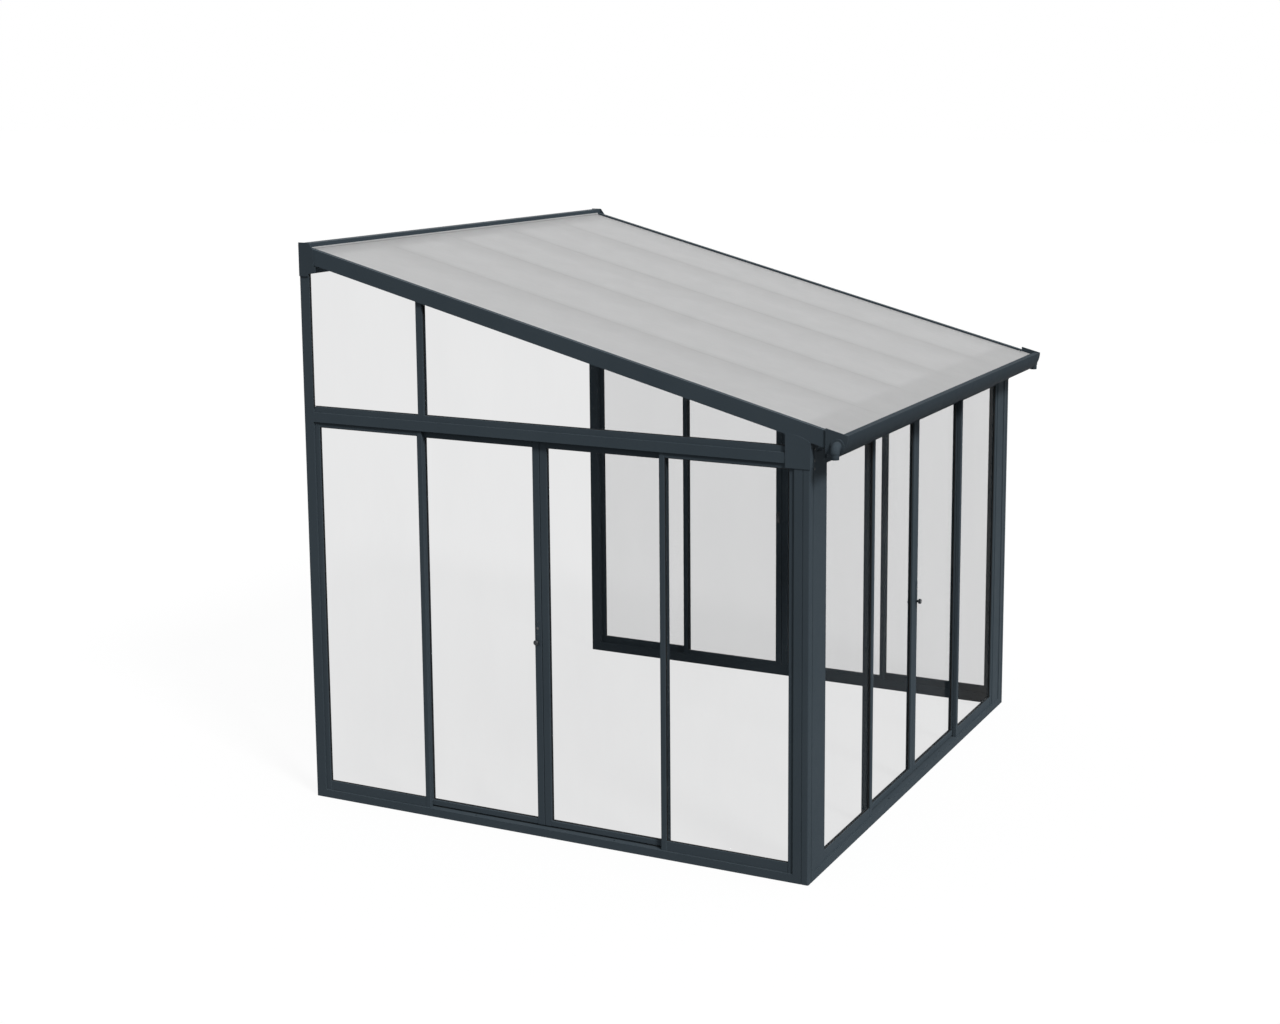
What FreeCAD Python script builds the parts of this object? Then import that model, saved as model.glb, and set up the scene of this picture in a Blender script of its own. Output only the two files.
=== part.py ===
import FreeCAD, Part
import math
import os
import Sketcher
from types import SimpleNamespace

# A lean-to conservatory: a dark aluminium frame that stands against a house wall, with a sloped
# translucent roof, a gutter along the front and a pair of sliding doors in each of its three walls.
# X runs along the front from left to right, Y from the gutter to the house, and Z up from the ground.

os.makedirs("parts", exist_ok=True)
doc = FreeCAD.newDocument("conservatory")

# Driving dimensions, in millimetres
driving = {
    # whole building
    "width": 3050,                # over the outer faces of the two gable walls
    "depth": 2823,                # from the house wall to the front face of the corner posts
    "roof_slope": 0.257,          # rise of the roof for each unit of run
    "door_head": 2016,            # lower edge of the headers above the ground
    "gable_centre": 1448,         # middle of a gable's doors behind the front face
    # wall profiles
    "wall_depth": 62,             # thickness of base tracks and headers
    "profile_wall": 3,            # wall of the hollow profiles
    "edge_break": 1.5,            # bevel on the visible edges of frame bars
    "bar_wall": 2,                # wall of the hollow stiles
    "base_height": 42,
    "base_lip": 16,               # height of the inner lip on the base track
    "lip_thick": 3,
    "rib_height": 8,              # rib that the doors run on
    "rib_thick": 3,
    "anchor_spacing": 800,        # between the two ground anchors of a base track
    "anchor_inset": 18,
    "anchor_radius": 5.5,
    "header_lip": 20,
    "header_face": 49,
    "fin_thick": 2,
    "transom_sill": 28,
    "sill_inset": 12,
    "sill_depth": 36,
    "eaves_rise": 27,             # height of the eaves beam at the front
    # posts
    "post_size": 80,
    "post_wall": 5,
    "post_round": 8,
    "groove_place": 34,           # shadow groove from the post's corner
    "groove_width": 5,
    "groove_sink": 2,
    "jamb_width": 112,
    "jamb_inset": 4,
    "wall_post": 55,
    "angle_thick": 5,             # the wall posts go on as angles beside the transoms
    "plate_width": 125,           # corner plates
    "plate_thick": 3,
    "plate_drop": 21,
    "plate_arch": 180,
    # panels
    "fixed_inset": 8,
    "fixed_depth": 20,
    "fixed_stile": 28,
    "fixed_sill_rail": 49,
    "fixed_head_rail": 45,
    "rail_inset": 2,
    "track_gap": 3,               # between the fixed frames and the doors
    "door_depth": 26,
    "door_stile": 28,
    "door_light": 628,            # clear glass between a door's stiles
    "meeting_stile": 40,
    "meeting_gap": 3,
    "door_sill_rail": 27,
    "door_head_rail": 51,
    "door_lift": 9,               # clears the rib under the stiles
    "head_clearance": 6,
    "fixed_clearance": 2,
    # glazing
    "pane_thick": 3,
    "pane_gap": 0.3,              # on each side of a pane in its groove
    "pane_groove": 10,
    "pane_bite": 9,               # how far a pane stands in its groove
    "transom_place": 2118,        # middle of the transom mullion behind the front face
    "transom_mullion": 34,
    # door shoes
    "shoe_channel": 12,
    "shoe_height": 10,
    "shoe_foot": 5,               # how far a shoe reaches down beside the rib
    "shoe_length": 60,
    "shoe_place": 30,
    "running_gap": 0.3,
    # roof
    "rafter_seat": 62,            # from a rafter's underside to the sheet
    "rafter_width": 45,
    "rafter_flange": 62,
    "flange_thick": 4,
    "rafter_edge": 12,            # upstand beside the sheet on a gable rafter
    "cap_reach": 28,
    "cap_thick": 8,
    "cap_gap": 1,
    "rafter_overhang": 80,
    "roof_overhang": 142,
    "sheet_thick": 10,
    "sheet_skin": 1,
    "panel_gap": 1,
    # ledger on the house wall
    "ledger_web": 8,
    "ledger_drop": 75,
    "ledger_rise": 88,
    "shelf_reach": 40,
    "shelf_nose": 6,
    "shelf_root": 50,
    "hood_reach": 58,
    "hood_drop": 20,
    "hood_thick": 5,
    "hood_nose": 4,
    "sheet_end_gap": 4,
    "wall_bolt_radius": 5.5,
    "wall_bolt_drop": 66,         # below the ledger's top edge
    "ledger_cap_thick": 6,
    "ledger_cap_edge": 4,         # how far the cap stands proud of the ledger
    "ledger_cap_face": 88,        # from the house wall to the cap's front edge
    "ledger_tab": 12,             # how far the cap's tab stands out in front of it
    "ledger_tab_height": 30,
    "ledger_tab_place": 20,       # above the cap's lower edge
    # gutter
    "gutter_reach": 186,          # from the posts' front face to the gutter's lip
    "gutter_radius": 130,         # of its bowed front
    "gutter_drop": 42,            # bottom of the gutter below the rafters' feet
    "gutter_back": 77,            # height of its back wall
    "gutter_front": 88,           # height of its front
    "gutter_wall": 3,
    "gutter_bend": 10,
    "gutter_lip": 34,
    "gutter_cap_thick": 8,
    "gutter_cap_lap": 4,
    "gutter_cap_rise": 74,        # top corner of the cap above the rafters' feet
    "collar_radius": 33,
    "collar_thick": 8,
    "outlet_place": 137,
    "outlet_drop": 3,
    "pipe_radius": 20,
    "pipe_bore": 17,
    "stub_extra": 3,              # radius of the elbow's stub over that of its spigot
    "elbow_reach": 26,            # from the collar to the middle of the spigot
    "spigot_length": 31,
    "elbow_shoulder": 30,         # from the stub's middle down to the flat stop of the downpipe
    "shoulder_extra": 1.5,        # radius of that stop over the spigot's
    # latches
    "lock_height": 1000,
    "lock_plate_width": 18,
    "lock_plate_height": 125,
    "lock_plate_foot": 15,
    "lock_plate_cut": 5,          # corners cut off
    "lock_plate_thick": 4,
    "knob_radius": 13.5,
    "knob_reach": 25,
    "knob_waist": 12,
    "knob_bevel": 3,
    "spindle_radius": 6,
    "hook_width": 18,
    "hook_length": 60,
    "hook_thick": 5,
    "hook_spine": 4,
    "hook_gap": 0.5,
    "keeper_radius": 4,
    "keeper_room": 2,
    "keeper_length": 9,
}
panel_count = 5
cells_per_panel = 10
bolt_bays = (-2, -1, 1, 2)        # panel widths from the middle to each wall bolt

sheet = doc.addObject("Spreadsheet::Sheet", "sizes")
for row, (alias, value) in enumerate(driving.items(), start=1):
    sheet.set(f"A{row}", alias)
    sheet.set(f"B{row}", str(value))
    sheet.setAlias(f"B{row}", alias)
doc.recompute()


class Size:
    # A length that keeps its number together with the sheet expression behind it
    def __init__(self, value, text):
        self.value = value
        self.text = text

    def __add__(self, other):
        other = as_size(other)
        return Size(self.value + other.value, f"({self.text} + {other.text})")

    def __sub__(self, other):
        other = as_size(other)
        return Size(self.value - other.value, f"({self.text} - {other.text})")

    def __mul__(self, other):
        other = as_size(other)
        return Size(self.value * other.value, f"({self.text} * {other.text})")

    def __truediv__(self, other):
        other = as_size(other)
        return Size(self.value / other.value, f"({self.text} / {other.text})")

    def __radd__(self, other):
        return as_size(other) + self

    def __rsub__(self, other):
        return as_size(other) - self

    def __rmul__(self, other):
        return as_size(other) * self

    def __neg__(self):
        return Size(-self.value, f"(-{self.text})")

    def root(self):
        return Size(math.sqrt(self.value), f"sqrt({self.text})")


def as_size(number):
    if isinstance(number, Size):
        return number
    return Size(float(number), f"({number})")


size = SimpleNamespace(**{name: Size(float(sheet.get(name)), f"sizes.{name}") for name in driving})


# Sketches, pads and cuts
def bind(feature, path, length):
    feature.setExpression(path, as_size(length).text)


def arc_between(start, end, radius):
    # a positive radius turns anticlockwise from start to end, a negative one clockwise
    chord = end - start
    reach = math.sqrt(max(radius * radius - chord.Length ** 2 / 4, 0))
    left = FreeCAD.Vector(-chord.y, chord.x, 0).normalize()
    centre = (start + end) / 2 + left * math.copysign(reach, radius)
    circle = Part.Circle(centre, FreeCAD.Vector(0, 0, 1), abs(radius))
    ends = [math.atan2(point.y - centre.y, point.x - centre.x) for point in (start, end)]
    if radius < 0:
        ends.reverse()
    return Part.ArcOfCircle(circle, *ends)


def draw(sketch, outline):
    # a point is (across, up), with the radius of the arc that leads to the next point, if it is one
    first = sketch.GeometryCount
    corners = [(as_size(point[0]), as_size(point[1])) for point in outline]
    places = [FreeCAD.Vector(across.value, up.value, 0) for across, up in corners]
    radii = [as_size(point[2]) if len(point) > 2 else None for point in outline]
    count = len(outline)
    for index, radius in enumerate(radii):
        ends = places[index], places[(index + 1) % count]
        if radius is None:
            sketch.addGeometry(Part.LineSegment(*ends))
        else:
            sketch.addGeometry(arc_between(*ends, radius.value))

    def vertex(index, at_end):
        clockwise = radii[index] is not None and radii[index].value < 0
        return first + index, 1 if at_end == clockwise else 2

    for index, (across, up) in enumerate(corners):
        here = vertex(index, False)
        before = vertex((index - 1) % count, True)
        sketch.addConstraint(Sketcher.Constraint("Coincident", *before, *here))
        for kind, length in (("DistanceX", across), ("DistanceY", up)):
            number = sketch.addConstraint(Sketcher.Constraint(kind, -1, 1, *here, length.value))
            bind(sketch, f"Constraints[{number}]", length)
        if radii[index] is not None:
            bow = radii[index] if radii[index].value > 0 else -radii[index]
            number = sketch.addConstraint(Sketcher.Constraint("Radius", first + index, bow.value))
            bind(sketch, f"Constraints[{number}]", bow)


def draw_circle(sketch, across, up, radius):
    across, up, radius = as_size(across), as_size(up), as_size(radius)
    centre = FreeCAD.Vector(across.value, up.value, 0)
    index = sketch.addGeometry(Part.Circle(centre, FreeCAD.Vector(0, 0, 1), radius.value))
    for kind, length in (("DistanceX", across), ("DistanceY", up)):
        number = sketch.addConstraint(Sketcher.Constraint(kind, -1, 1, index, 3, length.value))
        bind(sketch, f"Constraints[{number}]", length)
    number = sketch.addConstraint(Sketcher.Constraint("Radius", index, radius.value))
    bind(sketch, f"Constraints[{number}]", radius)


def new_sketch(body, plane, start=0):
    # start is measured along +Z for XY, +X for YZ and +Y for XZ
    sketch = body.newObject("Sketcher::SketchObject", f"{body.Name}_profile")
    origin_plane = [item for item in body.Origin.OriginFeatures if item.Role == f"{plane}_Plane"][0]
    sketch.AttachmentSupport = [(origin_plane, "")]
    sketch.MapMode = "FlatFace"
    offset = -as_size(start) if plane == "XZ" else as_size(start)
    bind(sketch, "AttachmentOffset.Base.z", offset)
    return sketch


def pad(body, plane, start, length, outlines=(), circles=(), rise=0):
    sketch = new_sketch(body, plane, start)
    for outline in outlines:
        draw(sketch, outline)
    for circle in circles:
        draw_circle(sketch, *circle)
    feature = body.newObject("PartDesign::Pad", f"{body.Name}_pad")
    feature.Profile = sketch
    bind(feature, "Length", length)
    if plane == "XZ":
        feature.UseCustomVector = True
        feature.Direction = FreeCAD.Vector(0, 1, as_size(rise).value)
        bind(feature, "Direction.z", rise)
        feature.AlongSketchNormal = True
    return feature


def drill(body, plane, circles):
    sketch = new_sketch(body, plane)
    for circle in circles:
        draw_circle(sketch, *circle)
    feature = body.newObject("PartDesign::Pocket", f"{body.Name}_drill")
    feature.Profile = sketch
    feature.Type = "ThroughAll"
    feature.Midplane = True
    return feature


def new_body(label):
    return doc.addObject("PartDesign::Body", label)


def rectangle(across_low, across_high, up_low, up_high):
    return [(across_low, up_low), (across_high, up_low), (across_high, up_high), (across_low, up_high)]


nodes = []


def keep(label, *pieces):
    # one piece is a node by itself, and like pieces share one
    node = pieces[0]
    if len(pieces) > 1:
        node = doc.addObject("Part::Compound", f"{label}_group")
        node.Links = list(pieces)
    node.Label = label
    nodes.append(node)


# Places that many pieces share
half = size.width / 2
front_y = (size.gutter_reach - size.depth) / 2
wall_y = (size.gutter_reach + size.depth) / 2
header_low = size.door_head + size.header_lip
header_ledge = size.door_head + size.header_face
header_top = header_ledge + size.transom_sill
rafter_foot = header_top + size.eaves_rise
fixed_back = size.fixed_inset + size.fixed_depth
door_front = fixed_back + size.track_gap
door_back = door_front + size.door_depth
door_line = door_front + size.door_depth / 2
fixed_line = size.fixed_inset + size.fixed_depth / 2
sill_line = size.sill_inset + size.sill_depth / 2
glass_half = size.pane_thick / 2
slot_half = glass_half + size.pane_gap
door_width = size.meeting_stile + size.door_light + size.door_stile
wall_rise = rafter_foot + size.roof_slope * size.depth
ledger_bottom = wall_rise - size.ledger_drop
ledger_top = wall_rise + size.ledger_rise
sides = {"left": -1, "right": 1}


def behind(run):
    # a place that lies run behind the front face
    return front_y + run


def underside(run):
    # height of the rafters' underside at that run
    return rafter_foot + size.roof_slope * run


def across_wall(side, outer, inner):
    # start and length along X of a slab between two depths in from a gable's outer face
    outer, inner = as_size(outer), as_size(inner)
    start = half - inner if side > 0 else outer - half
    return start, inner - outer


# The three walls: place of the doors' middle, direction along the wall, turn, and both ends
front_end = half - size.post_size - size.jamb_width
gable_front_end = size.gable_centre - size.post_size
gable_rear_end = size.depth - size.wall_post - size.gable_centre
walls = {
    "front": SimpleNamespace(x=as_size(0), y=front_y, along=(1, 0), turn=0, low=front_end, high=front_end,
                             beyond=size.jamb_width, lock=1, doors=("left", "right")),
    "left": SimpleNamespace(x=-half, y=behind(size.gable_centre), along=(0, -1), turn=-90, low=gable_rear_end,
                            high=gable_front_end, beyond=as_size(0), lock=-1, doors=("rear", "front")),
    "right": SimpleNamespace(x=half, y=behind(size.gable_centre), along=(0, 1), turn=90, low=gable_front_end,
                             high=gable_rear_end, beyond=as_size(0), lock=1, doors=("front", "rear")),
}


def stand(body, wall, along=0, up=0):
    # puts a piece drawn in its wall's own frame (along, inwards, up) into place
    body.Placement.Rotation = FreeCAD.Rotation(FreeCAD.Vector(0, 0, 1), wall.turn)
    bind(body, "Placement.Base.x", wall.x + wall.along[0] * as_size(along))
    bind(body, "Placement.Base.y", wall.y + wall.along[1] * as_size(along))
    bind(body, "Placement.Base.z", up)


# Base tracks and headers
def base_track(name, wall):
    body = new_body(f"base_track_{name}")
    low = -(wall.low + wall.beyond)
    skin = size.profile_wall
    box = rectangle(0, size.wall_depth, 0, size.base_height)
    hollow = rectangle(skin, size.wall_depth - skin, skin, size.base_height - skin)
    pad(body, "YZ", low, wall.high + wall.beyond - low, [box, hollow])
    rib_low = door_line - size.rib_thick / 2
    rib = rectangle(rib_low, rib_low + size.rib_thick, size.base_height, size.base_height + size.rib_height)
    lip = rectangle(size.wall_depth - size.lip_thick, size.wall_depth, size.base_height,
                    size.base_height + size.base_lip)
    pad(body, "YZ", -wall.low, wall.low + wall.high, [rib, lip])
    reach = size.anchor_spacing / 2
    drill(body, "XY", [(end * reach, size.anchor_inset, size.anchor_radius) for end in (-1, 1)])
    stand(body, wall)
    keep(f"base_track_{name}", body)


def header(name, wall):
    body = new_body(f"header_{name}")
    low = -(wall.low + wall.beyond)
    skin = size.profile_wall
    sill_back = size.sill_inset + size.sill_depth
    slot_floor = header_top - size.pane_groove
    section = [(0, header_low), (size.wall_depth, header_low), (size.wall_depth, header_ledge),
               (sill_back, header_ledge), (sill_back, header_top), (sill_line + slot_half, header_top),
               (sill_line + slot_half, slot_floor), (sill_line - slot_half, slot_floor),
               (sill_line - slot_half, header_top), (size.sill_inset, header_top),
               (size.sill_inset, header_ledge), (0, header_ledge)]
    hollow = rectangle(skin, size.wall_depth - skin, header_low + skin, header_ledge - skin)
    pad(body, "YZ", low, wall.high + wall.beyond - low, [section, hollow])
    fin_low = (fixed_back + door_front - size.fin_thick) / 2
    lips = [rectangle(0, size.lip_thick, size.door_head, header_low),
            rectangle(fin_low, fin_low + size.fin_thick, size.door_head, header_low),
            rectangle(size.wall_depth - size.lip_thick, size.wall_depth, size.door_head, header_low)]
    pad(body, "YZ", -wall.low, wall.low + wall.high, lips)
    stand(body, wall)
    keep(f"header_{name}", body)


# Posts, jambs and corner plates
def corner_post(name, side):
    body = new_body(f"corner_post_{name}")
    place, width, sink = size.groove_place, size.groove_width, size.groove_sink
    section = [(size.post_round, 0), (place, 0), (place, sink), (place + width, sink), (place + width, 0),
               (size.post_size, 0), (size.post_size, size.post_size), (0, size.post_size), (0, place + width),
               (sink, place + width), (sink, place), (0, place),
               (0, size.post_round, -side * size.post_round)]
    outline = [(-side * point[0], *point[1:]) for point in section]
    far = size.post_size - size.post_wall
    hollow = [(-side * across, up) for across, up in rectangle(size.post_wall, far, size.post_wall, far)]
    pad(body, "XY", 0, header_top, [outline, hollow])
    bind(body, "Placement.Base.x", side * half)
    bind(body, "Placement.Base.y", front_y)
    keep(f"corner_post_{name}", body)


def front_jamb(name, side):
    body = new_body(f"front_jamb_{name}")
    skin = size.profile_wall
    near, far = size.jamb_inset, size.wall_depth - size.jamb_inset
    edge = size.edge_break
    section = [(edge, near), (size.jamb_width - edge, near), (size.jamb_width, near + edge),
               (size.jamb_width, far), (0, far), (0, near + edge)]
    outline = [(-side * across, up) for across, up in section]
    hollow = [(-side * across, up)
              for across, up in rectangle(skin, size.jamb_width - skin, near + skin, far - skin)]
    pad(body, "XY", size.base_height, header_low - size.base_height, [outline, hollow])
    bind(body, "Placement.Base.x", side * (half - size.post_size))
    bind(body, "Placement.Base.y", front_y)
    keep(f"front_jamb_{name}", body)


def wall_post(name, side):
    # a hollow box beside the doors, notched to an angle that the transom pane stands behind
    body = new_body(f"wall_post_{name}")
    skin, leg = size.profile_wall, size.angle_thick
    depth, width = size.wall_depth, size.wall_post
    section = rectangle(0, depth, -width, 0)
    inner = rectangle(skin, depth - skin, skin - width, -skin)
    angle = [(0, -width), (leg, -width), (leg, -leg), (depth, -leg), (depth, 0), (0, 0)]
    box, hollow, angle = [[(-side * across, up) for across, up in outline]
                          for outline in (section, inner, angle)]
    notch = header_top - size.pane_bite - size.pane_gap
    pad(body, "XY", 0, notch, [box, hollow])
    pad(body, "XY", notch, ledger_bottom - notch, [angle])
    bind(body, "Placement.Base.x", side * half)
    bind(body, "Placement.Base.y", wall_y)
    keep(f"wall_post_{name}", body)


def corner_plate(name, side):
    body = new_body(f"corner_plate_{name}")
    low = size.door_head - size.plate_drop
    outline = [(front_y, low), (behind(size.plate_width), low),
               (behind(size.plate_width), underside(size.plate_width), size.plate_arch),
               (front_y, rafter_foot)]
    pad(body, "YZ", *across_wall(side, -size.plate_thick, 0), [outline])
    return body


# Fixed frames and doors: bars with a glazing slot, drawn in the wall's own frame
def grooved_bar(outer, inner, near, far, line):
    # section of a bar whose slot opens at its inner edge, with both front edges bevelled
    toward = 1 if as_size(outer).value > as_size(inner).value else -1
    edge = toward * size.edge_break
    floor = inner + toward * size.pane_groove
    return [(outer, near + size.edge_break), (outer - edge, near), (inner + edge, near),
            (inner, near + size.edge_break), (inner, line - slot_half), (floor, line - slot_half),
            (floor, line + slot_half), (inner, line + slot_half), (inner, far), (outer, far)]


def chamber(outer, inner, near, far):
    # hollow between a bar's outer edge and the floor of its slot
    toward = 1 if as_size(outer).value > as_size(inner).value else -1
    skin = toward * size.bar_wall
    floor = inner + toward * size.pane_groove
    return rectangle(floor + skin, outer - skin, near + size.bar_wall, far - size.bar_wall)


def stile(label, wall, end, outer, inner, near, far, line, low, high):
    body = new_body(label)
    outline = grooved_bar(end * outer, end * inner, near, far, line)
    pad(body, "XY", low, high - low, [outline, chamber(end * outer, end * inner, near, far)])
    stand(body, wall)
    return body


def rail(label, wall, end, first, last, outline):
    body = new_body(label)
    start = first if end > 0 else -last
    pad(body, "YZ", start, last - first, [[(across, up) for up, across in outline]])
    stand(body, wall)
    return body


def pane(label, wall, end, first, last, line, low, high):
    body = new_body(label)
    outline = rectangle(end * first, end * last, line - glass_half, line + glass_half)
    pad(body, "XY", low, high - low, [outline])
    stand(body, wall)
    return body


def fixed_panel(wall, end, reach):
    # stiles from the door's outer edge to the wall's end, with rails between them
    low, high = size.base_height, header_low - size.fixed_clearance
    first, last = door_width, reach - size.fixed_stile
    near = size.fixed_inset + size.rail_inset
    sill_top = low + size.fixed_sill_rail
    head_low = high - size.fixed_head_rail
    bars = [
        stile("fixed_stile", wall, end, first - size.fixed_stile, first, size.fixed_inset, fixed_back,
              fixed_line, low, high),
        stile("fixed_stile", wall, end, reach, last, size.fixed_inset, fixed_back, fixed_line, low, high),
        rail("fixed_rail", wall, end, first, last, grooved_bar(low, sill_top, near, fixed_back, fixed_line)),
        rail("fixed_rail", wall, end, first, last, grooved_bar(high, head_low, near, fixed_back, fixed_line)),
    ]
    bite = size.pane_bite
    glass = pane("fixed_pane", wall, end, first - bite, last + bite, fixed_line, sill_top - bite,
                 head_low + bite)
    return bars, glass


def door_sill_section(low, high):
    # bottom rail: glazing slot on top and a channel for the shoes and the running rib below
    side = size.shoe_channel / 2
    top = low + size.shoe_height
    section = grooved_bar(low, high, door_front, door_back, door_line)
    return section + [(low, door_line + side), (top, door_line + side), (top, door_line - side),
                      (low, door_line - side)]


def shoe(wall, end, first):
    body = new_body("shoe")
    side = size.shoe_channel / 2
    slot = size.rib_thick / 2 + size.running_gap
    low = size.base_height + size.door_lift - size.shoe_foot
    top = size.base_height + size.door_lift + size.shoe_height
    roof = size.base_height + size.rib_height + size.running_gap
    outline = [(door_line - side, low), (door_line - slot, low), (door_line - slot, roof),
               (door_line + slot, roof), (door_line + slot, low), (door_line + side, low),
               (door_line + side, top), (door_line - side, top)]
    start = first if end > 0 else -(first + size.shoe_length)
    pad(body, "YZ", start, size.shoe_length, [outline])
    stand(body, wall)
    return body


def door(name, wall, end, place):
    low = size.base_height + size.door_lift
    high = header_low - size.head_clearance
    sill_top, head_low = low + size.door_sill_rail, high - size.door_head_rail
    first, last = size.meeting_stile, size.meeting_stile + size.door_light
    meeting = stile("meeting_stile", wall, end, size.meeting_gap / 2, first, door_front, door_back,
                    door_line, low, high)
    head_section = grooved_bar(high, head_low, door_front, door_back, door_line)
    bars = [
        meeting,
        stile("door_stile", wall, end, door_width, last, door_front, door_back, door_line, low, high),
        rail("door_sill_rail", wall, end, first, last, door_sill_section(low, sill_top)),
        rail("door_head_rail", wall, end, first, last, head_section),
    ]
    if end == wall.lock:
        drill(meeting, "XZ", [(end * stile_middle, size.lock_height, size.spindle_radius + size.running_gap)])
        bars.append(lock_plate(wall, end))
    else:
        bars.append(keeper(wall, end))
    keep(f"door_frame_{name}_{place}", *bars)
    bite = size.pane_bite
    glass = pane("door_pane", wall, end, first - bite, last + bite, door_line, sill_top - bite,
                 head_low + bite)
    keep(f"door_pane_{name}_{place}", glass)
    shoes = [shoe(wall, end, first + size.shoe_place),
             shoe(wall, end, last - size.shoe_place - size.shoe_length)]
    keep(f"door_shoes_{name}_{place}", *shoes)


# Latches: a knob on the outside turns a hook on the inside, which drops over a pin on the other door
stile_middle = (size.meeting_gap / 2 + size.meeting_stile) / 2


def lock_plate(wall, end):
    body = new_body("lock_plate")
    side = size.lock_plate_width / 2
    low, high = -size.lock_plate_foot, size.lock_plate_height - size.lock_plate_foot
    cut = size.lock_plate_cut
    outline = [(-side, low + cut), (cut - side, low), (side - cut, low), (side, low + cut),
               (side, high - cut), (side - cut, high), (cut - side, high), (-side, high - cut)]
    hole = (0, 0, size.spindle_radius + size.running_gap)
    pad(body, "XZ", door_front - size.lock_plate_thick, size.lock_plate_thick, [outline], [hole])
    stand(body, wall, end * stile_middle, size.lock_height)
    return body


def keeper(wall, end):
    body = new_body("keeper")
    pad(body, "XZ", door_back, size.keeper_length, circles=[(0, 0, size.keeper_radius)])
    stand(body, wall, end * stile_middle, size.lock_height)
    return body


def latch(name, wall):
    end = wall.lock
    knob = new_body("latch_knob")
    face = door_front - size.lock_plate_thick - size.running_gap
    tip = face - size.knob_reach
    waist = face - size.knob_waist
    sketch = new_sketch(knob, "YZ")
    rim = size.knob_radius - size.knob_bevel
    draw(sketch, [(tip, 0), (tip, rim), (tip + size.knob_bevel, size.knob_radius),
                  (waist, size.knob_radius), (waist, size.spindle_radius),
                  (door_back + size.hook_gap, size.spindle_radius),
                  (door_back + size.hook_gap, 0)])
    turn = knob.newObject("PartDesign::Revolution", "latch_knob_turn")
    turn.Profile = sketch
    turn.ReferenceAxis = (sketch, ["H_Axis"])
    stand(knob, wall, end * stile_middle, size.lock_height)

    hook = new_body("latch_hook")
    side = size.hook_width / 2
    notch = size.keeper_radius + size.keeper_room
    middle = 2 * stile_middle
    outline = [(-side, -side), (side, -side), (side, middle - notch),
               (size.hook_spine - side, middle - notch), (size.hook_spine - side, middle + notch),
               (side, middle + notch), (side, size.hook_length),
               (-side, size.hook_length)]
    outline = [(-end * across, up) for across, up in outline]
    pad(hook, "XZ", door_back + size.hook_gap, size.hook_thick, [outline])
    stand(hook, wall, end * stile_middle, size.lock_height)
    keep(f"latch_{name}", knob, hook)


# Roof: eaves beam, rafters, panels and ledger
def eaves_beam():
    body = new_body("eaves_beam")
    skin = size.profile_wall
    far = size.wall_depth
    section = [(front_y, header_top), (behind(far), header_top), (behind(far), underside(far)),
               (front_y, rafter_foot)]
    inner = far - skin
    lower = header_top + skin
    hollow = [(behind(skin), lower), (behind(inner), lower), (behind(inner), underside(inner) - skin),
              (behind(skin), underside(skin) - skin)]
    pad(body, "YZ", -half, size.width, [section, hollow])
    keep("eaves_beam", body)


rafter_run = size.rafter_overhang + size.depth - size.ledger_web


def gable_rafter(name, side):
    body = new_body(f"gable_rafter_{name}")
    skin = size.profile_wall
    seat = size.rafter_seat
    cap_low = seat + size.sheet_thick + size.cap_gap
    top = cap_low + size.cap_thick
    slot_low, slot_high = sill_line - slot_half, sill_line + slot_half
    section = [(0, 0), (slot_low, 0), (slot_low, size.pane_groove), (slot_high, size.pane_groove),
               (slot_high, 0), (size.wall_depth, 0), (size.wall_depth, seat), (size.rafter_edge, seat),
               (size.rafter_edge, cap_low), (size.cap_reach, cap_low), (size.cap_reach, top), (0, top)]
    hollow = rectangle(skin, size.wall_depth - skin, size.pane_groove + skin, seat - skin)
    foot = underside(-size.rafter_overhang)
    outlines = [[(side * (half - across), foot + up) for across, up in outline]
                for outline in (section, hollow)]
    pad(body, "XZ", behind(-size.rafter_overhang), rafter_run, outlines, rise=size.roof_slope)
    keep(f"gable_rafter_{name}", body)


panel_pitch = size.width / panel_count


def roof_rafter(number):
    body = new_body(f"roof_rafter_{number}")
    skin = size.profile_wall
    stem, flange = size.rafter_width / 2, size.rafter_flange / 2
    neck = size.rafter_seat - size.flange_thick
    section = [(-stem, 0), (stem, 0), (stem, neck), (flange, neck), (flange, size.rafter_seat),
               (-flange, size.rafter_seat), (-flange, neck), (-stem, neck)]
    hollow = rectangle(skin - stem, stem - skin, skin, size.rafter_seat - skin)
    foot = underside(-size.rafter_overhang)
    outlines = [[(across, foot + up) for across, up in outline] for outline in (section, hollow)]
    pad(body, "XZ", behind(-size.rafter_overhang), rafter_run, outlines, rise=size.roof_slope)
    bind(body, "Placement.Base.x", number * panel_pitch - half)
    keep(f"roof_rafter_{number}", body)


def roof_panel(number):
    # twin-wall sheet with its cells open from eaves to ledger
    body = new_body(f"roof_panel_{number}")
    skin = size.sheet_skin
    gap = size.panel_gap / 2
    edge = size.rafter_edge + size.panel_gap
    low = edge if number == 1 else (number - 1) * panel_pitch + gap
    high = size.width - edge if number == panel_count else number * panel_pitch - gap
    floor = underside(-size.roof_overhang) + size.rafter_seat
    outlines = [rectangle(low, high, floor, floor + size.sheet_thick)]
    cell = (high - low - skin) / cells_per_panel
    for count in range(cells_per_panel):
        start = low + skin + count * cell
        outlines.append(rectangle(start, start + cell - skin, floor + skin, floor + size.sheet_thick - skin))
    run = size.roof_overhang + size.depth - size.ledger_web - size.sheet_end_gap
    pad(body, "XZ", behind(-size.roof_overhang), run, outlines, rise=size.roof_slope)
    bind(body, "Placement.Base.x", -half)
    keep(f"roof_panel_{number}", body)


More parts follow.
